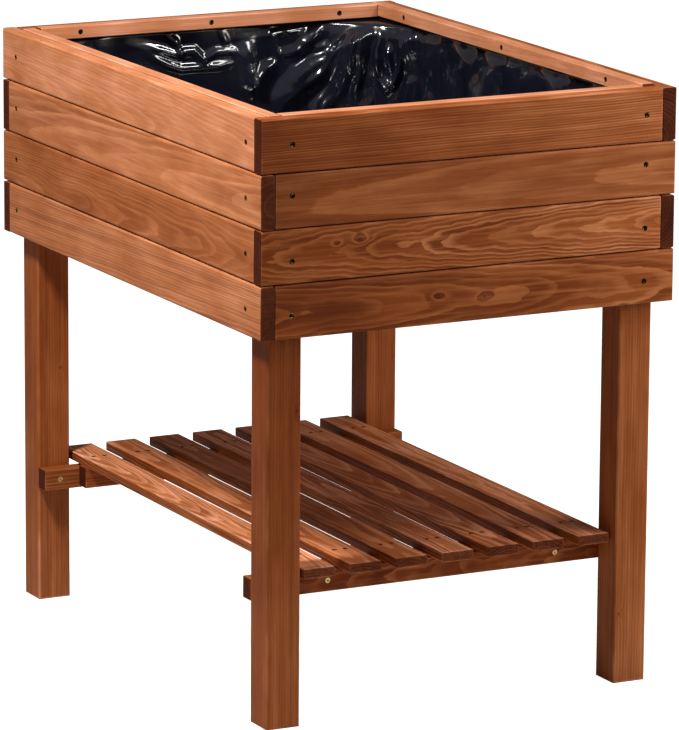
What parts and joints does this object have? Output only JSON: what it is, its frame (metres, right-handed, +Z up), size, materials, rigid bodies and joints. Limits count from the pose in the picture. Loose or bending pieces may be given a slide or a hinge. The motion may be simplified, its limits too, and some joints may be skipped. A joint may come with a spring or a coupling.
{
  "type": "raised planter",
  "caption": "Raised timber planter: a film-lined box of screwed boards with pinwheel corners on square legs, rim battens inside the top edge and a slatted shelf below.",
  "frame": {"origin": "on the ground, under the middle of the box", "axes": "+Z up, -Y towards the front, +X to the right as seen from the front"},
  "size_m": [0.6, 0.808, 0.803],
  "materials": {
    "wall_wood": "satin, red-brown stained softwood with strong grain",
    "leg_wood": "satin, red-brown stained softwood, straight grain",
    "rim_wood": "satin, lighter red-brown stained softwood",
    "shelf_wood": "satin, dark red-brown stained softwood with knots",
    "inner_wood": "raw planed softwood",
    "liner_film": "glossy black polythene film",
    "screw_brass": "yellow passivated steel, satin"
  },
  "bodies": {
    "root": {"board_front_1": "wall_wood", "board_front_2": "wall_wood", "board_front_3": "wall_wood", "board_front_4": "wall_wood", "board_back_1": "wall_wood", "board_back_2": "wall_wood", "board_back_3": "wall_wood", "board_back_4": "wall_wood", "board_left_1": "wall_wood", "board_left_2": "wall_wood", "board_left_3": "wall_wood", "board_left_4": "wall_wood", "board_right_1": "wall_wood", "board_right_2": "wall_wood", "board_right_3": "wall_wood", "board_right_4": "wall_wood", "leg_front_left": "leg_wood", "leg_front_right": "leg_wood", "leg_back_left": "leg_wood", "leg_back_right": "leg_wood", "rim_batten_front": "rim_wood", "rim_batten_back": "rim_wood", "rim_batten_left": "rim_wood", "rim_batten_right": "rim_wood", "liner": "liner_film", "floor_rail_front": "inner_wood", "floor_rail_back": "inner_wood", "floor_rail_left": "inner_wood", "floor_rail_right": "inner_wood", "floor_board_1": "inner_wood", "floor_board_2": "inner_wood", "floor_board_3": "inner_wood", "floor_board_4": "inner_wood", "floor_board_5": "inner_wood", "floor_board_6": "inner_wood", "floor_board_7": "inner_wood", "floor_end_board_front": "inner_wood", "floor_end_board_back": "inner_wood", "shelf_rail_front": "shelf_wood", "shelf_rail_back": "shelf_wood", "shelf_bearer_front": "shelf_wood", "shelf_bearer_back": "shelf_wood", "shelf_slat_1": "shelf_wood", "shelf_slat_2": "shelf_wood", "shelf_slat_3": "shelf_wood", "shelf_slat_4": "shelf_wood", "shelf_slat_5": "shelf_wood", "shelf_slat_6": "shelf_wood", "shelf_slat_7": "shelf_wood", "wall_screws": "screw_brass", "batten_screws": "screw_brass", "floor_rail_screws": "screw_brass", "floor_screws": "screw_brass", "shelf_rail_screws": "screw_brass", "slat_screws": "screw_brass"}
  },
  "joints": []
}
